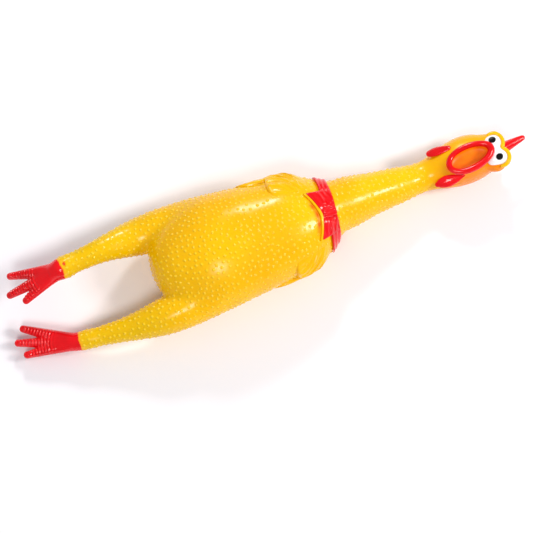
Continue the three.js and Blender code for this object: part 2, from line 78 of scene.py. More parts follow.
# The trunk's outline: x, back z, belly z, half width.
TRUNK = (
    (-90, 21, 31, 5), (-88.5, 15, 37, 13), (-84.5, 9, 43.5, 21), (-77, 3.5, 50, 28.5),
    (-65, 0, 56, 36.5), (-47, -1.5, 61.5, 42), (-22, -1.5, 63, 40.6), (2, -1.5, 61, 37.4),
    (20, -0.5, 58, 35.2), (31, 1, 54.5, 32.2), (38, 2.5, 51.5, 28.8), (43, 4.5, 49, 25),
    (50, 6, 47, 20.6), (65, 6.5, 43.5, 18.4), (80, 7, 38.8, 15.8), (102, 6.2, 33, 13.4),
    (125, 5, 28.2, 11.5), (133, 2.8, 31.5, 13.2), (141, 0.6, 34.2, 15.6), (149, -0.8, 35.8, 17.2),
    (157, -1.2, 36.6, 17.7), (165, -0.8, 37, 16.7), (172, 1, 37, 14.4), (178, 5, 36, 11.6),
    (183, 11, 33, 7.6), (186, 18, 27, 3),
)
# How far the trunk's middle lies to the chicken's right: x, distance.
SWAY = ((-91, 0), (38, 0), (50, 0.9), (65, 1.6), (110, 2.0), (130, 2.2), (165, 2.2), (176, 1.0), (187, 0))
NECK_ROOT_Z = 26.6  # the height of the neck's axis where it leaves the body
# A thigh inside the flank, before the hip: x, distance from the middle, z, radius.
THIGH_ROOT = ((-10, 16, 30, 6), (-30, 22, 29, 14), (-50, 26.2, 28, 17), (-70, 29.4, 26.2, 15.9))
HIP_RADIUS, KNEE_RADIUS = 13.6, 8.8
ANKLE_RADIUS = {"left": 5.9, "right": 6.9}
PAINT_LINE = 2.0  # how far before the ankle the red of the foot starts
PAINT_THICKNESS, PAINT_OVERLAP = 0.07, 2.2  # the overlap is how far the foot's piece runs on past that line

# Toes from the inner one out: yaw towards the other leg in degrees, and reach from the ankle.
TOES = {
    "left": ((12.5, 45.5), (-1.5, 47.5), (-14.5, 41.5)),
    "right": ((15.5, 36.5), (0, 46.0), (-18.5, 43.0)),
}
# Two radii, where the toes leave the ankle, and how high the beads stand along their tops.
TOE = {"root": 5.5, "tip": 2.6, "start": 3.0, "bead": 0.75}
SCUTE = 2.35  # spacing of the ridges across a toe

SKIN_CELL, WING_CELL, FOOT_CELL = 1.15, 0.75, 0.62  # how fine each surface's mesh is
PIMPLE = {"spacing": 3.5, "radius": 1.4, "height": 0.56}
DOME_RINGS = (0.34, 0.6, 0.82, 1.0)  # the rings of a pimple's dome, as shares of its radius
DOME_SIDES = 10
NECK_PIMPLES_END = 127.0  # the throat and head beyond it are smooth
# How far before each joint the skin is cut into pieces, from the body outwards.
NECK_CUTS, LEG_CUTS = (10.0, 13.0, 13.0), (16.0, 8.5, PAINT_LINE)

ROLL = math.radians(16)  # how far the bow and the wings sit rolled round the body, towards the left side
COLLAR = {"x": 45.2, "half": 4.1, "thick": 1.7, "lean": 0.09}
BOW = {"front": 49.2, "middle": 37.2, "corner": 31.6, "half": 17.0, "thick": 2.4, "rim": 1.7}
KNOT = {"x": 43.4, "half_x": 5.4, "half_y": 4.6, "thick": 2.8}

MOUTH = {"x": 156.4, "y": -1.5, "z": 36.6, "turn": math.radians(4.5), "slope": 0.085,
         "half_x": 15.2, "half_y": 7.5}
MOUTH_DEPTH = 5.5
MOUTH_CUT = 1.9  # how far outside the mouth's bowl the orange painted shade ends
CHEEKS = {"middle": (156, 2.0, 27), "half": (21, 15.3, 12.2)}
MOUND = {"x": 175.5, "y": 6.2, "z": 28.5, "radius": 8.3}  # one of the pair under the eyes
# The lip is thicker by "heavy" at the crown's end, on the left.
LIP = {"half_x": 16.4, "half_y": 8.5, "radius": 2.1, "heavy": 0.5}
EYE = {"x": 177.6, "middle": -2.3, "y": 6.0, "z": 33.6, "radius": 5.8, "long": 10.0}
PUPIL = {"radius": 2.4, "x": -1.4, "outward": 0.9, "proud": 0.45}
BROW = {"radius": 1.8, "thin": 0.9, "out": 1.1}  # at the crown, at its outer ends, and how far out of the eye
# Two heights above the flank, how deep the plate's inner face lies, and the tip's middle and half sizes.
# An arc is the distance round the body from the belly's seam.
WING = {"middle_z": 29.0, "shoulder": 2.3, "tip": 1.8, "root": 1.2,
        "tip_x": 5, "tip_arc": 56, "tip_half_x": 17.5, "tip_half_arc": 7.0}
COMB = {"x": 182.0, "y": -1.8, "turn": math.radians(8)}
# The comb's three points from the front one down, and the blade that joins them: from, to, radius at both.
COMB_PIECES = (
    ((182, 0, 28.8), (200.8, 0, 28.0), 5.2, 2.4),
    ((179, 0, 20), (191.2, 0, 18.6), 3.1, 1.8),
    ((176, 0, 11), (184.6, 0, 9.0), 2.9, 1.7),
    ((181, 0, 28), (176, 0, 11), 2.7, 2.5),
)
# A leaf's free end, its end at the lips, its radius at both, and how much its middle is wider.
WATTLES = {
    "left": ((129.0, -9.6, 25.4), (147.6, -11.6, 32.4), 1.9, 1.2, 2.9),
    "right": ((132.2, 13.9, 28.4), (144.4, 11.2, 35.4), 2.9, 2.1, 1.2),
}


# ---------------------------------------------------------------- fields
def smooth_min(a, b, k):
    h = np.clip(0.5 + 0.5 * (b - a) / k, 0, 1)
    return b * (1 - h) + a * h - k * h * (1 - h)


def smooth_max(a, b, k):
    return -smooth_min(-a, -b, k)


def smooth_step(a, b, value):
    t = np.clip((value - a) / (b - a), 0, 1)
    return t * t * (3 - 2 * t)


class Rows:
    """Rows of numbers that start with x, read at any x by a smooth curve through them."""

    def __init__(self, rows, step=0.25):
        rows = np.array(rows, float)
        self.x = np.arange(rows[0, 0], rows[-1, 0] + step / 2, step)
        slopes = np.gradient(rows[:, 1:], rows[:, 0], axis=0)
        i = np.clip(np.searchsorted(rows[:, 0], self.x, "right") - 1, 0, len(rows) - 2)
        span = (rows[i + 1, 0] - rows[i, 0])[:, None]
        t = (self.x - rows[i, 0])[:, None] / span
        p, q, m, n = rows[i, 1:], rows[i + 1, 1:], slopes[i] * span, slopes[i + 1] * span
        self.values = p + m * t + (3 * (q - p) - 2 * m - n) * t**2 + (2 * (p - q) + m + n) * t**3
        self.slopes = np.gradient(self.values, self.x, axis=0)

    def at(self, x):
        return [np.interp(x, self.x, column) for column in self.values.T]

    def slope(self, x, column):
        return np.interp(x, self.x, self.slopes[:, column])


TRUNK_ROWS, SWAY_ROWS = Rows(TRUNK), Rows(SWAY)


def trunk_middle(x):
    back, belly, _ = TRUNK_ROWS.at(x)
    return (back + belly) / 2


def trunk(p):
    """Torso, neck and head as one body of oval sections."""
    x, y, z = p[..., 0], p[..., 1], p[..., 2]
    back, belly, half = TRUNK_ROWS.at(x)
    tall = (belly - back) / 2
    (middle,) = SWAY_ROWS.at(x)
    across = np.sqrt(((y - middle) / half) ** 2 + ((z - (back + belly) / 2) / tall) ** 2)
    slope = np.minimum(TRUNK_ROWS.slope(x, 2) ** 2, 1.5)
    distance = (across - 1) * np.minimum(half, tall) / np.sqrt(1 + slope)
    return smooth_max(smooth_max(distance, TAIL_X - x, 1.5), x - CROWN_X, 1.5)


def leg_joints(name):
    """Where a leg bends: its hip, knee and ankle."""
    return [joint_place(f"{name}_{bend}") for bend in ("hip_swing", "knee_bend", "ankle_bend")]


def leg_rows(name, side):
    """A leg's tube from the palm of the foot to inside the flank, as x, y, z, radius."""
    hip, knee, ankle = leg_joints(name)
    beyond = ankle + 0.15 * (ankle - knee)
    thin = ANKLE_RADIUS[name]
    rows = [
        (beyond, 0.45 * thin),
        (ankle, 0.97 * thin),
        ((knee + ankle) / 2, 0.96 * (KNEE_RADIUS + thin) / 2),
        (knee, KNEE_RADIUS),
        (hip, HIP_RADIUS),
    ]
    table = [(*place, radius) for place, radius in rows]
    return Rows(table + [(x, side * y, z, radius) for x, y, z, radius in reversed(THIGH_ROOT)])


LEGS = {name: leg_rows(name, side) for name, side in SIDES}


def leg(p, name):
    rows = LEGS[name]
    y, z, radius = rows.at(p[..., 0])
    distance = np.hypot(p[..., 1] - y, p[..., 2] - z) - radius
    distance = distance / np.sqrt(1 + rows.slope(p[..., 0], 2) ** 2)
    return smooth_max(smooth_max(distance, rows.x[0] - p[..., 0], 2), p[..., 0] - rows.x[-1], 2)


def foot_frame(name):
    """The ankle, and unit vectors forwards, towards the chicken's right, and up out of the foot."""
    ankle = joint_place(f"{name}_ankle_bend")
    across = np.array(JOINTS[f"{name}_ankle_bend"]["axis"], float)
    across /= np.linalg.norm(across)
    low, high = node_box(f"{name}_foot")
    forwards = (low + high) / 2 - ankle
    forwards -= across * (forwards @ across)
    forwards /= np.linalg.norm(forwards)
    return ankle, forwards, across, np.cross(across, forwards)


def tapered(p, a, b, radius_a, radius_b):
    """A capsule from a to b whose radius changes on the way.

    Returns the distance from its surface, and how far along the nearest place on its axis is, 0 to 1.
    """
    a, b = np.array(a, float), np.array(b, float)
    t = np.clip(((p - a) @ (b - a)) / ((b - a) @ (b - a)), 0, 1)
    radius = radius_a + (radius_b - radius_a) * t
    return np.linalg.norm(p - (a + t[..., None] * (b - a)), axis=-1) - radius, t


FEET = {name: foot_frame(name) for name, _ in SIDES}


def foot(p, name, side):
    """Three ridged toes that fan out of the ankle and part near their tips, in the foot's own frame."""
    ankle, forwards, across, up = FEET[name]
    q = np.stack([(p - ankle) @ forwards, (p - ankle) @ across, (p - ankle) @ up], -1)
    toes = np.full(p.shape[:-1], 99.0)
    for yaw, reach in TOES[name]:
        turn = -side * math.radians(yaw)
        direction = np.array([math.cos(turn), math.sin(turn), 0])
        end = direction * (reach - TOE["tip"]) + [0, 0, -1.8]
        toe, along = tapered(q, direction * TOE["start"] + [0, 0, -0.6], end, TOE["root"], TOE["tip"])
        length = along * (reach - TOE["start"] - TOE["tip"])
        bead = 0.5 + 0.5 * np.cos(2 * math.pi * length / SCUTE)
        crest = (q[..., 2] + 0.6 + 1.2 * along) / (TOE["root"] + (TOE["tip"] - TOE["root"]) * along)
        top = smooth_step(0.55, 0.95, crest) * smooth_step(12, 19, length) * smooth_step(1.0, 0.93, along)
        toes = smooth_min(toes, toe - TOE["bead"] * bead * top, 1.4)
    thick = ANKLE_RADIUS[name]
    palm, _ = tapered(q, (-2, 0, 0), (13, 0, -2.2), thick, thick * 0.66)
    return smooth_min(toes, palm, 3.0)


def turned(p, x, y, turn):
    """Offsets from an upright axis at x and y, in directions turned about it."""
    dx, dy = p[..., 0] - x, p[..., 1] - y
    return dx * math.cos(turn) + dy * math.sin(turn), dy * math.cos(turn) - dx * math.sin(turn)


def in_mouth(p):
    """Offsets from the middle of the lips: along the mouth, across it, and up from the plane of the lips."""
    u, v = turned(p, MOUTH["x"], MOUTH["y"], MOUTH["turn"])
    return u, v, p[..., 2] - MOUTH["z"] - MOUTH["slope"] * u


def mouth_bowl(p):
    """The hollow of the mouth, an egg-shaped bowl with a flat bottom."""
    u, v, w = in_mouth(p)
    width = MOUTH["half_y"] * (1 + 0.08 * np.clip(-u / MOUTH["half_x"], -1, 1))
    round_it = (u / MOUTH["half_x"]) ** 2 + (v / width) ** 2
    return ((round_it**2 + (w / MOUTH_DEPTH) ** 4) ** 0.25 - 1) * MOUTH["half_y"]


def head_form(p):
    """Cheeks that swell beside the mouth and the mound that carries the eyes."""
    x, y, z = p[..., 0], p[..., 1], p[..., 2]
    cheeks = np.linalg.norm((p - CHEEKS["middle"]) / CHEEKS["half"], axis=-1)
    across = np.abs(y - EYE["middle"]) - MOUND["y"]
    mound = np.linalg.norm(np.stack([x - MOUND["x"], across, z - MOUND["z"]], -1) / MOUND["radius"], axis=-1)
    return smooth_min((cheeks - 1) * 12, (mound - 1) * 8, 3)


def only_where(near, p, field):
    """A field worked out only where near is true, and far outside elsewhere."""
    value = np.full(near.shape, 99.0)
    if near.any():
        value[near] = field(p[near])
    return value


def skin(p):
    """The whole yellow skin with the feet, flat where the back lies on the table."""
    x, y = p[..., 0], p[..., 1]
    shape = trunk(p)
    for name, side in SIDES:
        near_leg = (x < 5) & (y * side > -22)
        near_foot = (x < -138) & (y * side > -30)
        legs = only_where(near_leg, p, lambda q, name=name: leg(q, name))
        feet = only_where(near_foot, p, lambda q, name=name, side=side: foot(q, name, side))
        shape = smooth_min(shape, smooth_min(legs, feet, 2.5), 4.5)
    shape = smooth_min(shape, only_where(x > 122, p, head_form), 4)
    shape = smooth_max(shape, -only_where(x > 128, p, mouth_bowl), 1.2)
    return smooth_max(shape, -p[..., 2], 1.6)


# ---------------------------------------------------------------- surfaces from fields
CORNERS = np.array([(i, j, k) for i in (0, 1) for j in (0, 1) for k in (0, 1)])
EDGES = [(a, b) for a in range(8) for b in range(a + 1, 8) if np.abs(CORNERS[a] - CORNERS[b]).sum() == 1]


def gradient(field, p, step=0.05):
    steps = np.eye(3) * step
    return np.stack([field(p + s) - field(p - s) for s in steps], -1) / (2 * step)


def unit(vectors):
    return vectors / np.maximum(np.linalg.norm(vectors, axis=-1, keepdims=True), 1e-9)


def onto(field, p, reach, rounds=3):
    """Moves points onto the field's zero level, by no more than reach each time."""
    for _ in range(rounds):
        slope = gradient(field, p)
        move = -field(p)[..., None] * slope / np.maximum((slope**2).sum(-1, keepdims=True), 0.05)
        length = np.maximum(np.linalg.norm(move, axis=-1, keepdims=True), 1e-9)
        p = p + move * np.minimum(1, reach / length)
    return p


def surface(field, low, high, cell):
    """A closed mesh of quads on a field's zero level: points, faces, and the outward normal at each point."""
    axes = [np.arange(a, b + cell, cell) for a, b in zip(low, high)]
    sheets = (np.stack(np.meshgrid([x], axes[1], axes[2], indexing="ij"), -1) for x in axes[0])
    values = np.stack([field(sheet)[0] for sheet in sheets])
    inside = values < 0
    shape = np.array(values.shape) - 1
    count = sum(inside[i:i + shape[0], j:j + shape[1], k:k + shape[2]].astype(np.int8) for i, j, k in CORNERS)
    cells = np.argwhere((count > 0) & (count < 8))
    corner_values = np.stack([values[tuple((cells + c).T)] for c in CORNERS], -1)
    total, crossings = np.zeros((len(cells), 3)), np.zeros(len(cells))
    for a, b in EDGES:
        va, vb = corner_values[:, a], corner_values[:, b]
        crosses = (va < 0) != (vb < 0)
        t = np.where(crosses, va / np.where(crosses, va - vb, 1), 0)[:, None]
        total += np.where(crosses[:, None], CORNERS[a] + t * (CORNERS[b] - CORNERS[a]), 0)
        crossings += crosses
    points = np.array([axis[0] for axis in axes]) + (cells + total / crossings[:, None]) * cell
    number = np.full(shape, -1)
    number[tuple(cells.T)] = np.arange(len(cells))
    faces = []
    for axis in range(3):
        u, v = np.eye(3, dtype=int)[(axis + 1) % 3], np.eye(3, dtype=int)[(axis + 2) % 3]
        here = [slice(1, n) for n in shape]
        here[axis] = slice(0, shape[axis])
        beyond = list(here)
        beyond[axis] = slice(1, shape[axis] + 1)
        start = inside[tuple(here)]
        crossing = np.argwhere(start != inside[tuple(beyond)])
        outward = start[tuple(crossing.T)]
        corner = crossing + (np.array([1, 1, 1]) - np.eye(3, dtype=int)[axis])
        ring = np.stack([number[tuple((corner - d).T)] for d in (u + v, v, 0 * u, u)], -1)
        faces.append(np.where(outward[:, None], ring, ring[:, ::-1]))
    points = onto(field, points, cell * 0.6)
    return points, np.concatenate(faces), unit(gradient(field, points))


# ---------------------------------------------------------------- mesh objects
def add_mesh(name, points, faces, normals, material, masks=None):
    """A smooth mesh object, in metres, with its own normals and any masks as named point values."""
    mesh = bpy.data.meshes.new(name)
    mesh.from_pydata((points * MM).tolist(), [], [tuple(face) for face in faces])
    mesh.polygons.foreach_set("use_smooth", np.ones(len(mesh.polygons), bool))
    for title, values in (masks or {}).items():
        mesh.attributes.new(title, "FLOAT", "POINT").data.foreach_set("value", values.astype(np.float32))
    mesh.normals_split_custom_set_from_vertices(normals.tolist())
    mesh.materials.append(material)
    piece = bpy.data.objects.new(name, mesh)
    bpy.context.scene.collection.objects.link(piece)
    return piece


def part_of(points, faces, normals, keep):
    """The faces where keep is true, with only the points that they use."""
    faces = faces[keep]
    used, again = np.unique(faces, return_inverse=True)
    return points[used], again.reshape(faces.shape), normals[used]


# ---------------------------------------------------------------- materials
def shader(name, roughness, **values):
    material = bpy.data.materials.new(name)
    material.use_nodes = True
    bsdf = material.node_tree.nodes["Principled BSDF"]
    bsdf.inputs["Roughness"].default_value = roughness
    for socket, value in values.items():
        bsdf.inputs[socket.replace("_", " ")].default_value = value
    return material, bsdf


def node(material, kind, inputs=None, **settings):
    made = material.node_tree.nodes.new(kind)
    for name, value in settings.items():
        setattr(made, name, value)
    for socket, value in (inputs or {}).items():
        if isinstance(value, bpy.types.NodeSocket):
            material.node_tree.links.new(value, made.inputs[socket])
        else:
            made.inputs[socket].default_value = value
    return made


def noise(material, scale, detail=2.0):
    place = node(material, "ShaderNodeTexCoord").outputs["Object"]
    inputs = {"Vector": place, "Scale": scale, "Detail": detail}
    return node(material, "ShaderNodeTexNoise", inputs).outputs["Fac"]


def spread(material, value, low, high, start=0.35, end=0.65):
    """Turns a noise value into the range from low to high."""
    inputs = {"Value": value, "From Min": start, "From Max": end, "To Min": low, "To Max": high}
    return node(material, "ShaderNodeMapRange", inputs).outputs["Result"]


def mix(material, factor, a, b):
    made = node(material, "ShaderNodeMix", data_type="RGBA")
    for index, value in ((0, factor), (6, a), (7, b)):
        if isinstance(value, bpy.types.NodeSocket):
            material.node_tree.links.new(value, made.inputs[index])
        else:
            made.inputs[index].default_value = value
    return made.outputs[2]


def wire(material, bsdf, colour=None, roughness=None, bumps=()):
    links = material.node_tree.links
    if colour is not None:
        links.new(colour, bsdf.inputs["Base Color"])
    if roughness is not None:
        links.new(roughness, bsdf.inputs["Roughness"])
    normal = None
    for height, distance, strength in bumps:
        inputs = {"Height": height, "Distance": distance * MM, "Strength": strength}
        if normal is not None:
            inputs["Normal"] = normal
        normal = node(material, "ShaderNodeBump", inputs).outputs["Normal"]
    if normal is not None:
        links.new(normal, bsdf.inputs["Normal"])


def mask(material, name):
    return node(material, "ShaderNodeAttribute", attribute_name=name).outputs["Fac"]


def rgb(red, green, blue):
    """A colour as it shows on screen, 0 to 255, in the linear values of a shader."""
    shown = (red / 255, green / 255, blue / 255)
    linear = [c / 12.92 if c <= 0.04045 else ((c + 0.055) / 1.055) ** 2.4 for c in shown]
    return (*linear, 1.0)


def yellow_vinyl():
    material, bsdf = shader("yellow_vinyl", 0.22, Subsurface_Weight=0.1, Subsurface_Scale=0.003,
                            Specular_IOR_Level=0.25)
    bsdf.inputs["Subsurface Radius"].default_value = (1.0, 0.5, 0.05)
    cloud = spread(material, noise(material, 22), 0.0, 1.0)
    colour = mix(material, cloud, rgb(246, 184, 0), rgb(253, 196, 2))
    # painted shade: the yellow turns orange over the head, most on its left side, and on undersides
    colour = mix(material, mask(material, "deep"), colour, rgb(252, 142, 0))
    # painted shade: a darker, greener yellow on the legs
    colour = mix(material, mask(material, "olive"), colour, rgb(238, 190, 0))
    # painted highlight: each pimple lighter towards its top, by the tip mask
    colour = mix(material, mask(material, "tip"), colour, rgb(255, 222, 60))
    colour = mix(material, mask(material, "smear"), colour, rgb(232, 60, 22))
    roughness = spread(material, noise(material, 90, 4), 0.13, 0.28)
    bumps = [(noise(material, 420, 3), 0.10, 0.35), (noise(material, 70), 0.5, 0.15)]
    wire(material, bsdf, colour, roughness, bumps)
    return material


def red_paint():
    material, bsdf = shader("red_paint", 0.15, Specular_IOR_Level=0.42)
    cloud = spread(material, noise(material, 60, 3), 0.0, 1.0)
    colour = mix(material, cloud, rgb(222, 0, 8), rgb(242, 2, 16))
    colour = mix(material, mask(material, "bare"), colour, rgb(250, 186, 8))
    roughness = spread(material, noise(material, 140, 3), 0.09, 0.2)
    bumps = [(noise(material, 500, 3), 0.08, 0.4), (noise(material, 160), 0.25, 0.3)]
    wire(material, bsdf, colour, roughness, bumps)
    return material


# painted shade: the inside of the mouth, the yellow vinyl's shade painted as a flat orange
def orange_paint():
    material, bsdf = shader("orange_paint", 0.38, Specular_IOR_Level=0.3)
    cloud = spread(material, noise(material, 80, 3), 0, 1)
    colour = mix(material, cloud, rgb(255, 128, 0), rgb(255, 148, 2))
    roughness = spread(material, noise(material, 150), 0.3, 0.45)
    wire(material, bsdf, colour, roughness, [(noise(material, 350, 3), 0.1, 0.3)])
    return material


def eye_paint(name, colour, other, roughness, coat, specular):
    material, bsdf = shader(name, roughness, Coat_Weight=coat, Coat_Roughness=0.05,
                            Specular_IOR_Level=specular)
    cloud = spread(material, noise(material, 120, 3), 0, 1)
    tint = mix(material, cloud, colour, other)
    wire(material, bsdf, tint, None, [(noise(material, 400, 2), 0.06, 0.3)])
    return material


def hard_plastic(name, colour, other, roughness):
    material, bsdf = shader(name, roughness)
    cloud = spread(material, noise(material, 200, 3), 0, 1)
    tint = mix(material, cloud, colour, other)
    uneven = spread(material, noise(material, 300, 3), roughness - 0.06, roughness + 0.08)
    wire(material, bsdf, tint, uneven, [(noise(material, 900, 3), 0.04, 0.3)])
    return material


YELLOW_VINYL = yellow_vinyl()
RED_PAINT = red_paint()
MOUTH_PAINTED_SHADE = orange_paint()
WHITE_PAINT = eye_paint("white_paint", rgb(255, 255, 255), rgb(246, 246, 244), 0.2, 0.4, 0.5)
BLACK_PAINT = eye_paint("black_paint", rgb(14, 13, 13), rgb(24, 22, 22), 0.3, 0.0, 0.12)
IVORY_PLASTIC = hard_plastic("ivory_plastic", rgb(234, 228, 210), rgb(222, 214, 194), 0.42)
REED_FILM = hard_plastic("reed_film", rgb(246, 246, 240), rgb(232, 234, 228), 0.22)


# ---------------------------------------------------------------- where the skin bends
class Bend:
    """A stretch of skin between one body and the next, told by its reach along a line through a joint."""

    def __init__(self, name, bodies, joint, along, before, after, nodes):
        self.name, self.bodies, self.nodes = name, bodies, nodes
        self.along = unit(np.array(along, float))
        self.place = joint_place(joint)
        self.before, self.after = before, after

    def reach(self, p):
        return (p - self.place) @ self.along

    def apply(self, piece):
        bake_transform(piece)


def neck_bends():
    rows = (
        ("lower_neck", "torso", "neck_sway", 7.5, ["lower_neck_skin"]),
        ("upper_neck", "lower_neck", "neck_nod", 7.5, ["upper_neck_skin"]),
        ("head", "upper_neck", "head_nod", 7.0, ["head_skin"]),
    )
    return [
        Bend(body, (parent, body), joint, (1, 0, 0), -half, half, nodes)
        for body, parent, joint, half, nodes in rows
    ]


def leg_bends(name, side):
    hip, knee, ankle = leg_joints(name)
    outwards = (-0.8, 0.6 * side, 0)
    thigh, shin, last = f"{name}_thigh", f"{name}_shin", f"{name}_foot"
    return [
        Bend(thigh, ("torso", thigh), f"{name}_hip_swing", outwards, -13.5, 9.5, [f"{thigh}_skin"]),
        Bend(shin, (thigh, shin), f"{name}_knee_bend", knee - hip, -6, 7.5, [f"{shin}_skin"]),
        Bend(last, (shin, last), f"{name}_ankle_bend", ankle - knee, 0.2, 9, [last]),
    ]


def region_of(p):
    """The name of the skin piece that each point belongs to."""
    region = np.full(len(p), "torso", dtype="U16")
    for bend, margin in zip(NECK_BENDS, NECK_CUTS):
        region[bend.reach(p) > -margin] = bend.name
    for name, side in SIDES:
        same_side = (p[:, 1] * side > 0) & (p[:, 0] < 0)
        for bend, margin in zip(LEG_BENDS[name], LEG_CUTS):
            region[same_side & (bend.reach(p) > -margin)] = bend.name
    bowl = (mouth_bowl(p) < MOUTH_CUT) & (p[:, 0] > 130) & (p[:, 2] > MOUTH["z"] - 12)
    region[bowl] = "mouth"
    return region


NECK_BENDS = neck_bends()
LEG_BENDS = {name: leg_bends(name, side) for name, side in SIDES}


# ---------------------------------------------------------------- the skin and its pimples
def wrap_uv(piece, middle_y):
    """Unrolls a tube along X: round it is u and along it is v, with the seam underneath."""
    mesh = piece.data
    corners = np.zeros(len(mesh.loops), int)
    mesh.loops.foreach_get("vertex_index", corners)
    points = np.array([v.co for v in mesh.vertices])[corners] / MM
    angle = np.arctan2(points[:, 1] - middle_y, points[:, 2] - trunk_middle(points[:, 0]))
    turn = angle / (2 * math.pi) + 0.5
    starts = np.zeros(len(mesh.polygons), int)
    sizes = np.zeros(len(mesh.polygons), int)
    mesh.polygons.foreach_get("loop_start", starts)
    mesh.polygons.foreach_get("loop_total", sizes)
    face = np.repeat(np.arange(len(starts)), sizes)
    highest = np.maximum.reduceat(turn, starts)
    turn = np.where(highest[face] - turn > 0.5, turn + 1, turn)
    low, high = points[:, 0].min(), points[:, 0].max()
    uv = np.stack([0.01 + turn * 0.93, 0.01 + 0.98 * (points[:, 0] - low) / (high - low)], -1)
    mesh.uv_layers.new(name="OFBake").data.foreach_set("uv", uv.ravel().astype(np.float32))


def skin_masks(p):
    """Painted shade, orange on the head and undersides and darker and greener on the legs, and where red
    paint has smeared on it.
    """
    # painted shade: orange over the head, strongest on its left side
    deep = smooth_step(118, 150, p[:, 0]) * (0.35 + 0.65 * smooth_step(6, -8, p[:, 1]))
    # painted shade: orange on undersides close to the table
    deep = np.maximum(deep, 0.4 * smooth_step(16, 2, p[:, 2]))
    # painted shade: a darker, greener yellow towards the feet
    olive = smooth_step(-70, -110, p[:, 0])
    y, above = rolled(p)
    beside = np.exp(-(((p[:, 0] - bow_edge(np.abs(y)) + 3.3) / 1.5) ** 2)) * smooth_step(14, 8, np.abs(y + 1))
    smear = 0.9 * beside * smooth_step(5, 12, above) * (0.8 + 0.2 * np.sin(y * 0.9 + 1))
    ankle, _, across, up = FEET["right"]
    dab = ankle + 8.4 * unit(LEG_BENDS["right"][2].along * -1) + up * ANKLE_RADIUS["right"] - across * 0.5
    smear = np.maximum(smear, smooth_step(2.3, 1.4, np.linalg.norm((p - dab) * [1.2, 1, 0.5], axis=-1)))
    return {"deep": deep, "olive": olive, "smear": smear}


def pimple_share(p, normals):
    """How full the pimples are at each point, from 0 for none to 1."""
    share = smooth_step(NECK_PIMPLES_END, NECK_PIMPLES_END - 8, p[:, 0])
    share *= smooth_step(1.2, 2.4, p[:, 2] + 3 * smooth_step(-0.9, -0.5, normals[:, 2]))
    along = p[:, 0] - COLLAR["x"] - COLLAR["lean"] * p[:, 1]
    share *= np.where(np.abs(along) < COLLAR["half"] + 1.3, 0, 1)
    y, above = rolled(p)
    bow = (p[:, 0] > bow_edge(np.abs(y)) - 3.0) & (along < 0) & (np.abs(y) < BOW["half"] + 2.4)
    share *= np.where(bow & (above > 4), 0, 1)
    for name, side in SIDES:
        share *= smooth_step(0.1, 0.6, wing(p, side))
        reach = np.where(p[:, 1] * side > 0, LEG_BENDS[name][2].reach(p), -99)
        share *= smooth_step(-PAINT_LINE - 1.0, -PAINT_LINE - 2.6, reach)
    return share


def scatter(points, order, spacing):
    """Points picked in order, each at least the spacing from the others."""
    taken, grid = [], {}
    keys = np.floor(points / spacing).astype(int)
    near = [(i, j, k) for i in (-1, 0, 1) for j in (-1, 0, 1) for k in (-1, 0, 1)]
    for index in order:
        a, b, c = keys[index]
        here = points[index]
        close = (other for i, j, k in near for other in grid.get((a + i, b + j, c + k), ()))
        if all(((points[other] - here) ** 2).sum() >= spacing**2 for other in close):
            grid.setdefault((a, b, c), []).append(index)
            taken.append(index)
    return np.array(taken)


def dome_faces():
    """The faces of one dome: a fan round its tip and bands between its rings, open at the skin."""
    sides = [(i, (i + 1) % DOME_SIDES) for i in range(DOME_SIDES)]
    faces = [(0, 1 + i, 1 + j) for i, j in sides]
    for ring in range(len(DOME_RINGS) - 1):
        inner = 1 + ring * DOME_SIDES
        outer = inner + DOME_SIDES
        faces += [(inner + i, outer + i, outer + j, inner + j) for i, j in sides]
    return faces


def domes(centres, normals, shares, random):
    """Small round domes that leave the skin at a tangent."""
    turns = 2 * math.pi * np.arange(DOME_SIDES) / DOME_SIDES
    rings = [(0.0, 0.0)] + [(r, turn) for r in DOME_RINGS for turn in turns]
    radius = np.array([r for r, _ in rings])
    turn = np.array([t for _, t in rings])
    side = unit(np.cross(normals, np.where(np.abs(normals[:, :1]) < 0.7, [[1.0, 0, 0]], [[0, 1.0, 0]])))
    other = np.cross(normals, side)
    size = PIMPLE["radius"] * (0.72 + 0.28 * shares) * random.uniform(0.9, 1.1, len(centres))
    height = PIMPLE["height"] * shares * random.uniform(0.85, 1.12, len(centres))
    outwards = side[:, None] * np.cos(turn)[:, None] + other[:, None] * np.sin(turn)[:, None]
    base = centres[:, None] + outwards * radius[:, None] * size[:, None, None]
    base = onto(skin, base.reshape(-1, 3), 0.4, rounds=2)
    up = unit(gradient(skin, base)).reshape(len(centres), -1, 3)
    rise = (1 - radius**2) ** 2
    points = base.reshape(up.shape) + up * (height[:, None] * rise - 0.04)[..., None]
    lean = 4 * radius * (1 - radius**2) * (height / size)[:, None]
    slopes = unit(up + outwards * lean[..., None])
    count = len(radius)
    pattern = dome_faces()
    faces = [tuple(i * count + index for index in face) for i in range(len(centres)) for face in pattern]
    # tip: a painted highlight, lighter towards each pimple's top
    tip = np.tile(rise * 0.55, len(centres)) * np.repeat(shares, count)
    return points.reshape(-1, 3), faces, slopes.reshape(-1, 3), tip


def attach_skin(piece, region):
    """Rides the mouth's piece of skin with the head, and bakes the place of every other piece into its mesh.
    """
    if region == "torso":
        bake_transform(piece)
    elif region == "mouth":
        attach(piece, "head")
    else:
        ALL_BENDS[region].apply(piece)


ALL_BENDS = {bend.name: bend for bend in NECK_BENDS + LEG_BENDS["left"] + LEG_BENDS["right"]}
SKIN_NODES = {"torso": ["torso_skin", "belly_panel"], "mouth": ["mouth_lining"]}


def nodes_of(region):
    """The CAD nodes that a piece of skin stands in for."""
    return ALL_BENDS[region].nodes if region in ALL_BENDS else SKIN_NODES[region]


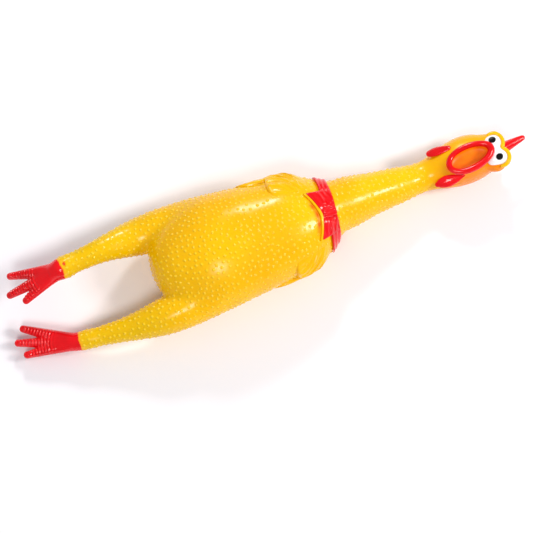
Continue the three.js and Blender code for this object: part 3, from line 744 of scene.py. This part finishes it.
def make_skin():
    low = np.array([min(node_box("left_foot")[0][0], node_box("right_foot")[0][0]) - 4, -52, -2])
    high = np.array([CROWN_X + 4, 52, 68])
    points, faces, normals = surface(skin, low, high, SKIN_CELL)
    region = region_of(points[faces].mean(1))
    for name in np.unique(region):
        if name.endswith("foot"):
            continue
        part, part_faces, part_normals = part_of(points, faces, normals, region == name)
        # the mouth's piece takes the orange painted shade
        material, slot = (MOUTH_PAINTED_SHADE, "orange_paint") if name == "mouth" else (YELLOW_VINYL, "yellow_vinyl")
        masks = None if name == "mouth" else skin_masks(part)
        title = "mouth_lining_bowl" if name == "mouth" else f"{name}_vinyl"
        piece = add_mesh(title, part, part_faces, part_normals, material, masks)
        if name != "mouth":
            wrap_uv(piece, part[:, 1].mean())
        attach_skin(piece, name)
        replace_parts(piece, *nodes_of(name))
    return points, normals


def make_pimples(points, normals):
    random = np.random.default_rng(7)
    shares = pimple_share(points, normals)
    order = random.permutation(np.flatnonzero(shares > 0.25))
    chosen = scatter(points, order, PIMPLE["spacing"])
    region = region_of(points[chosen])
    for name in np.unique(region):
        if name == "mouth" or name.endswith("foot"):
            continue
        here = chosen[region == name]
        made, faces, slopes, tip = domes(points[here], normals[here], shares[here], random)
        # with the painted highlight on the pimples' tops
        masks = {**skin_masks(made), "tip": tip}
        piece = add_mesh(f"{name}_pimples", made, faces, slopes, YELLOW_VINYL, masks)
        wrap_uv(piece, made[:, 1].mean())
        attach_skin(piece, name)


# ---------------------------------------------------------------- feet
def make_feet():
    for name, side in SIDES:
        bend = LEG_BENDS[name][2]
        ankle, _, across, up = FEET[name]
        low, high = node_box(f"{name}_foot")
        points, faces, normals = surface(skin, low - [4, 4, 4], high + [8, 4, 4], FOOT_CELL)
        red = bend.reach(points[faces].mean(1)) > -PAINT_LINE - PAINT_OVERLAP
        part, part_faces, part_normals = part_of(points, faces, normals, red)
        round_leg = np.arctan2((part - ankle) @ up, (part - ankle) @ across)
        line = -PAINT_LINE + 0.35 * np.sin(2 * round_leg + 1) + 0.2 * np.sin(5 * round_leg)
        bare = smooth_step(0.25, -0.25, bend.reach(part) - line)
        part = part + part_normals * PAINT_THICKNESS
        piece = add_mesh(f"{name}_foot_vinyl", part, part_faces, part_normals, RED_PAINT,
                         {"bare": bare})
        bend.apply(piece)
        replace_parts(piece, f"{name}_foot")


# ---------------------------------------------------------------- collar and bow
def rolled(p):
    """The distance sideways from the belly's seam and the height above the neck's axis, both rolled."""
    up = p[..., 2] - NECK_ROOT_Z
    y = p[..., 1] * math.cos(ROLL) + up * math.sin(ROLL)
    return y, up * math.cos(ROLL) - p[..., 1] * math.sin(ROLL)


def bow_edge(y):
    """The bow's edge towards the belly, x at a distance y from the middle."""
    return BOW["middle"] - (BOW["middle"] - BOW["corner"]) * np.clip(y / BOW["half"], 0, 1.1) ** 1.6


def bow_plan(p, grow=0.0):
    """How far a point is outside the bow's outline, which can be grown towards the tail."""
    y = np.abs(rolled(p)[0])
    x = p[..., 0]
    plan = smooth_max(x - COLLAR["lean"] * p[..., 1] - BOW["front"] + grow, bow_edge(y) - x - grow, 1.0)
    return smooth_max(plan, y - BOW["half"] + 0.15 * (x - BOW["middle"]), 1.6)


def bow_folds(p):
    """Creases that fan out of the knot."""
    y = np.abs(rolled(p)[0])
    fan = np.arctan2(p[..., 0] - KNOT["x"] + 1, y + 1)
    ripple = 0.3 * np.cos(9 * fan + 0.6) + 0.25 * np.cos(1.7 * p[..., 0] + 0.5 * y)
    return ripple * smooth_step(2, 7, y) * smooth_step(BOW["half"] + 1, BOW["half"] - 4, y)


def on_chest(p, plan, outer, edge):
    """A moulded shape between a plan and a height above the trunk, on the belly's side only."""
    shape = smooth_max(smooth_max(plan, outer, edge), -trunk(p) - 1.0, 0.5)
    return smooth_max(shape, -rolled(p)[1], 0.5)


def bow(p):
    tuck = 0.5 * smooth_step(7, 3, np.abs(rolled(p)[0]))
    return on_chest(p, bow_plan(p), trunk(p) - (BOW["thick"] + bow_folds(p) - tuck), 1.2)


def bow_rim(p):
    """The unpainted step of the moulding round the bow."""
    return on_chest(p, bow_plan(p, BOW["rim"]), trunk(p) - 1.6, 1.2)


def knot(p):
    y = rolled(p)[0]
    q = np.stack([(p[..., 0] - KNOT["x"]) / KNOT["half_x"], y / KNOT["half_y"]], -1)
    plan = ((q**4).sum(-1) ** 0.25 - 1) * KNOT["half_y"]
    return on_chest(p, plan, trunk(p) - KNOT["thick"] - 0.25 * np.cos(y * 2.2), 1.8)


def collar(p):
    x = p[..., 0] - COLLAR["x"] - COLLAR["lean"] * p[..., 1]
    turn = np.arctan2(p[..., 1], p[..., 2] - NECK_ROOT_Z)
    edge = COLLAR["half"] + 0.25 * np.sin(5 * turn + 1)
    folds = 0.16 * np.cos(2.1 * x + 1.5 * np.sin(3 * turn))
    shape = smooth_max(np.abs(x) - edge, trunk(p) - COLLAR["thick"] - folds, 0.9)
    return smooth_max(smooth_max(shape, -trunk(p) - 1.0, 0.5), 0.2 - p[..., 2], 0.6)


def add_form(name, field, low, high, cell, material, slot, body, nodes=(), masks=None):
    """A closed piece from its field, riding on one body."""
    points, faces, normals = surface(field, np.array(low, float), np.array(high, float), cell)
    piece = add_mesh(name, points, faces, normals, material, masks(points) if masks else None)
    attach(piece, body)
    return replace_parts(piece, *nodes)


def make_collar_and_bow():
    red = (RED_PAINT, "red_paint", "torso")
    yellow = (YELLOW_VINYL, "yellow_vinyl", "torso")
    add_form("neck_collar_band", collar, (37, -36, -3), (52, 36, 62), 0.62, *red, ["neck_collar"])
    add_form("bow_tie", bow, (26, -30, 20), (52, 16, 64), 0.55, *red, ["left_bow_loop", "right_bow_loop"])
    add_form("bow_rim", bow_rim, (24, -30, 20), (52, 16, 64), 0.55, *yellow)
    add_form("bow_tie_knot", knot, (35, -18, 20), (52, 4, 64), 0.5, *red, ["bow_knot"])


# ---------------------------------------------------------------- head
def ellipse_distance(x, y, half_x, half_y):
    """Nearly the distance from an ellipse's line, negative inside it."""
    size = np.hypot(x / half_x, y / half_y)
    slope = np.hypot(x / half_x**2, y / half_y**2)
    return (size - 1) * size / np.maximum(slope, 1e-6)


def lip(p):
    """A round lip on the edge of the mouth's bowl."""
    u, v, w = in_mouth(p)
    width = LIP["half_y"] * (1 + 0.08 * np.clip(-u / LIP["half_x"], -1, 1))
    flat = ellipse_distance(u, v, LIP["half_x"], width)
    heavy = LIP["heavy"] * smooth_step(-0.3, 1.0, 0.7 * (u / LIP["half_x"] - v / width))
    return np.hypot(flat, (w - 0.6) * 0.9) - LIP["radius"] - heavy


def from_eyes(p):
    """Offsets from the middle of the nearer eye."""
    across = np.abs(p[..., 1] - EYE["middle"]) - EYE["y"]
    return np.stack([p[..., 0] - EYE["x"], across, p[..., 2] - EYE["z"]], -1)


def eyes(p):
    q = from_eyes(p)
    long = np.where(q[..., 0] < 0, EYE["radius"] / EYE["long"], 1)
    pair = np.sqrt((q[..., 0] * long) ** 2 + q[..., 1] ** 2 + q[..., 2] ** 2) - EYE["radius"]
    between = p - [EYE["x"] - 1.6, EYE["middle"], EYE["z"] + 0.3]
    bridge = np.linalg.norm(between * [1, 0.8, 1], axis=-1) - EYE["radius"] * 0.86
    return smooth_min(pair, bridge, 1.6)


def eye(p, side):
    """One half of the pair of eyes, cut back where the mouth's bowl begins."""
    half = smooth_max(eyes(p), -side * (p[..., 1] - EYE["middle"]) - 0.02, 0.05)
    return smooth_max(half, 0.8 - mouth_bowl(p), 0.4)


def pupil(p, side):
    y = EYE["middle"] + side * (EYE["y"] + PUPIL["outward"])
    disc = np.hypot((p[..., 0] - EYE["x"] - PUPIL["x"]) * 0.9, p[..., 1] - y) - PUPIL["radius"]
    shape = smooth_max(disc, eyes(p) - PUPIL["proud"], 0.35)
    return smooth_max(smooth_max(shape, -eyes(p) - 0.7, 0.3), EYE["z"] - p[..., 2], 0.3)


def brow(p):
    """A ridge round both eyes that dips between them and thins outwards, on a hood that runs to the crown."""
    q = from_eyes(p)
    ring = np.hypot(np.hypot(q[..., 0], q[..., 1]) - EYE["radius"] - BROW["out"], (q[..., 2] - 0.4) * 0.8)
    radius = BROW["thin"] + (BROW["radius"] - BROW["thin"]) * smooth_step(-5, 4, q[..., 0])
    hood = np.linalg.norm(q - [1.2, 0, -4.6], axis=-1) - EYE["radius"] * 1.16
    shape = smooth_max(smooth_min(ring - radius, hood, 1.2), -(eyes(p) - 0.1), 0.4)
    front = 0.6 - 0.5 * np.clip(q[..., 1], 0, 9) - q[..., 0]
    return smooth_max(shape, front, 1.5)


def comb(p):
    """Three soft points in a blade over the crown, the longest in front."""
    u, v = turned(p, COMB["x"], COMB["y"], COMB["turn"])
    q = np.stack([u + COMB["x"], v * 1.1, p[..., 2]], -1)
    front, second, third, blade = (tapered(q, *piece)[0] for piece in COMB_PIECES)
    shape = smooth_min(smooth_min(front, second, 2.0), smooth_min(third, blade, 2.0), 2.0)
    return shape - 0.10 * np.cos(p[..., 2] * 1.7)


def wattle(p, name, side):
    """A flat leaf beside the mouth, blunt at its free end and hollowed a little along its middle."""
    free, root, blunt, narrow, belly = WATTLES[name]
    facing = unit(np.array([-0.25, 0.4 * side, 0.9]))
    flat = p + 1.1 * ((p - free) @ facing)[..., None] * facing
    tilt = 1.1 * ((np.array(root) - free) @ facing) * facing
    leaf, along = tapered(flat, free, np.array(root) + tilt, blunt, narrow)
    return leaf - belly * np.sin(math.pi * along**0.8)


def make_eye(name, side):
    low, high = node_box(f"{name}_eyeball")
    add_form(f"{name}_eye", lambda p: eye(p, side), low - 4, high + 4, 0.55,
             WHITE_PAINT, "white_paint", "head", [f"{name}_eyeball"])
    low, high = node_box(f"{name}_pupil")
    add_form(f"{name}_eye_pupil", lambda p: pupil(p, side), low - [3, 3, 5], high + 3, 0.3,
             BLACK_PAINT, "black_paint", "head", [f"{name}_pupil"])


def make_wattle(name, side):
    ends = np.array(WATTLES[name][:2])
    add_form(f"{name}_wattle_leaf", lambda p: wattle(p, name, side), ends.min(0) - 7, ends.max(0) + 7, 0.45,
             RED_PAINT, "red_paint", "head", [f"{name}_wattle"])


def make_head():
    red = (RED_PAINT, "red_paint", "head")
    yellow = (YELLOW_VINYL, "yellow_vinyl", "head")
    low, high = node_box("mouth_lip")
    add_form("mouth_lip_ring", lip, low - 3, high + 3, 0.5, *red, ["mouth_lip"])
    low, high = node_box("brow_ridge")
    add_form("brow_ridge_hood", brow, low - [8, 3, 3], high + 4, 0.55, *yellow, ["brow_ridge"])
    low, high = node_box("comb")
    add_form("comb_blade", comb, low - [9, 3, 3], high + 3, 0.5, *red, ["comb"])
    for name, side in SIDES:
        make_eye(name, side)
        make_wattle(name, side)


# ---------------------------------------------------------------- wings
def wing(p, side):
    """A folded wing: a shoulder that rises out of the flank up to a crease, and a flat tip behind it."""
    x = p[..., 0]
    y, above = rolled(p)
    arc = np.degrees(np.arctan2(y * side, above + NECK_ROOT_Z - WING["middle_z"])) * 0.6
    crease = 7.0 + 0.012 * (arc - 38) ** 2
    fade = smooth_step(42, 24, x) * smooth_step(23, 38, arc) * smooth_step(70, 60, arc)
    curl = 0.8 * (arc - 30) + 0.03 * (x - 12) ** 2
    feathers = (0.6 * np.cos(curl) + 0.25 * np.cos(2.3 * curl + 0.5 * x)) * smooth_step(36, 26, x)
    raised = (WING["shoulder"] + 0.8 + feathers * smooth_step(crease, crease + 5, x)) * fade - 0.8
    edge = 12 * (0.24 - fade)
    shoulder = smooth_max(smooth_max(trunk(p) - raised, crease - x, 2.6), edge, 0.4)
    oval = np.hypot((x - WING["tip_x"]) / WING["tip_half_x"], (arc - WING["tip_arc"]) / WING["tip_half_arc"])
    lifted = trunk(p) - WING["tip"] * smooth_step(-18, 4, x) - 0.6
    tip = smooth_max((oval - 1) * WING["tip_half_arc"], lifted, 1.0)
    return smooth_max(smooth_min(shoulder, tip, 1.5), -trunk(p) - WING["root"], 0.3)


def make_wings():
    for name, side in SIDES:
        low, high = node_box(f"{name}_wing")
        points, faces, normals = surface(lambda p, side=side: wing(p, side), low - [10, 9, 12],
                                         high + [8, 9, 10], WING_CELL)
        piece = add_mesh(f"{name}_wing_flap", points, faces, normals, YELLOW_VINYL,
                         skin_masks(points))
        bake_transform(piece)
        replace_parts(piece, f"{name}_wing")


# ---------------------------------------------------------------- the sound unit keeps its CAD solids
def finish_sound_unit():
    looks = {"sound_barrel": IVORY_PLASTIC, "sound_inlet_cap": IVORY_PLASTIC, "reed_board": IVORY_PLASTIC,
             "reed_wedge": IVORY_PLASTIC, "reed": REED_FILM}
    for name, material in looks.items():
        solid = frame["nodes"][name]
        for place in solid.material_slots:
            place.material = material


# ---------------------------------------------------------------- stage
VIEW = {"azimuth": -20.8, "elevation": 76.0, "distance": 900.0, "width": 388.5}
PICTURE_MIDDLE = (-22.6, -32.8)  # from the point below, to the right and upwards
AIM = (22.0, 0.0, 28.0)
LIGHT_DISTANCE, TABLE_HALF = 1.3, 6.0  # in metres
# Each light's direction to the right, up and back in the picture, size in metres, power in watts, colour.
LIGHTS = (
    ("key", (0.74, 0.15, 0.64), 0.26, 8.0, (1.0, 0.98, 0.96)),
    ("flash", (-0.1, -0.3, 0.95), 0.34, 5.6, (1.0, 0.99, 0.98)),
    ("window", (-0.05, 0.92, 0.38), 0.2, 6.5, (0.98, 0.98, 1.0)),
)


def camera_axes():
    a, e = math.radians(VIEW["azimuth"]), math.radians(VIEW["elevation"])
    right = np.array([math.cos(a), math.sin(a), 0])
    back = np.array([math.sin(a) * math.cos(e), -math.cos(a) * math.cos(e), math.sin(e)])
    return right, np.cross(back, right), back


def make_camera():
    right, up, back = camera_axes()
    middle = np.array(AIM) + right * PICTURE_MIDDLE[0] + up * PICTURE_MIDDLE[1]
    data = bpy.data.cameras.new("camera")
    data.sensor_width = 36
    data.lens = data.sensor_width * VIEW["distance"] / VIEW["width"]
    camera = bpy.data.objects.new("camera", data)
    camera.location = (middle + back * VIEW["distance"]) * MM
    camera.rotation_euler = Matrix(np.stack([right, up, back], -1).tolist()).to_euler()
    bpy.context.scene.collection.objects.link(camera)
    bpy.context.scene.camera = camera


def add_light(name, towards, size, power, colour):
    """A square light on the side that towards points to, given as right, up and back in the picture."""
    right, up, back = camera_axes()
    direction = unit(right * towards[0] + up * towards[1] + back * towards[2])
    data = bpy.data.lights.new(name, "AREA")
    data.size, data.energy, data.color = size, power, colour
    light = bpy.data.objects.new(name, data)
    light.location = direction * LIGHT_DISTANCE
    side = unit(np.cross(up, direction))
    axes = np.stack([side, np.cross(direction, side), direction], -1)
    light.rotation_euler = Matrix(axes.tolist()).to_euler()
    bpy.context.scene.collection.objects.link(light)


def make_stage():
    mesh = bpy.data.meshes.new("floor")
    half = TABLE_HALF
    corners = [(-half, -half, 0), (half, -half, 0), (half, half, 0), (-half, half, 0)]
    mesh.from_pydata(corners, [], [(0, 1, 2, 3)])
    material, bsdf = shader("table", 0.6)
    bsdf.inputs["Base Color"].default_value = (0.93, 0.925, 0.94, 1)
    mesh.materials.append(material)
    floor = bpy.data.objects.new("floor", mesh)
    bpy.context.scene.collection.objects.link(floor)
    world = bpy.data.worlds.new("studio")
    world.use_nodes = True
    world.node_tree.nodes["Background"].inputs["Color"].default_value = (0.94, 0.92, 1.0, 1)
    world.node_tree.nodes["Background"].inputs["Strength"].default_value = 0.42
    bpy.context.scene.world = world
    bpy.context.scene.view_settings.view_transform = "Standard"
    for light in LIGHTS:
        add_light(*light)


make_camera()
make_stage()
skin_points, skin_normals = make_skin()
make_pimples(skin_points, skin_normals)
make_feet()
make_collar_and_bow()
make_head()
make_wings()
finish_sound_unit()
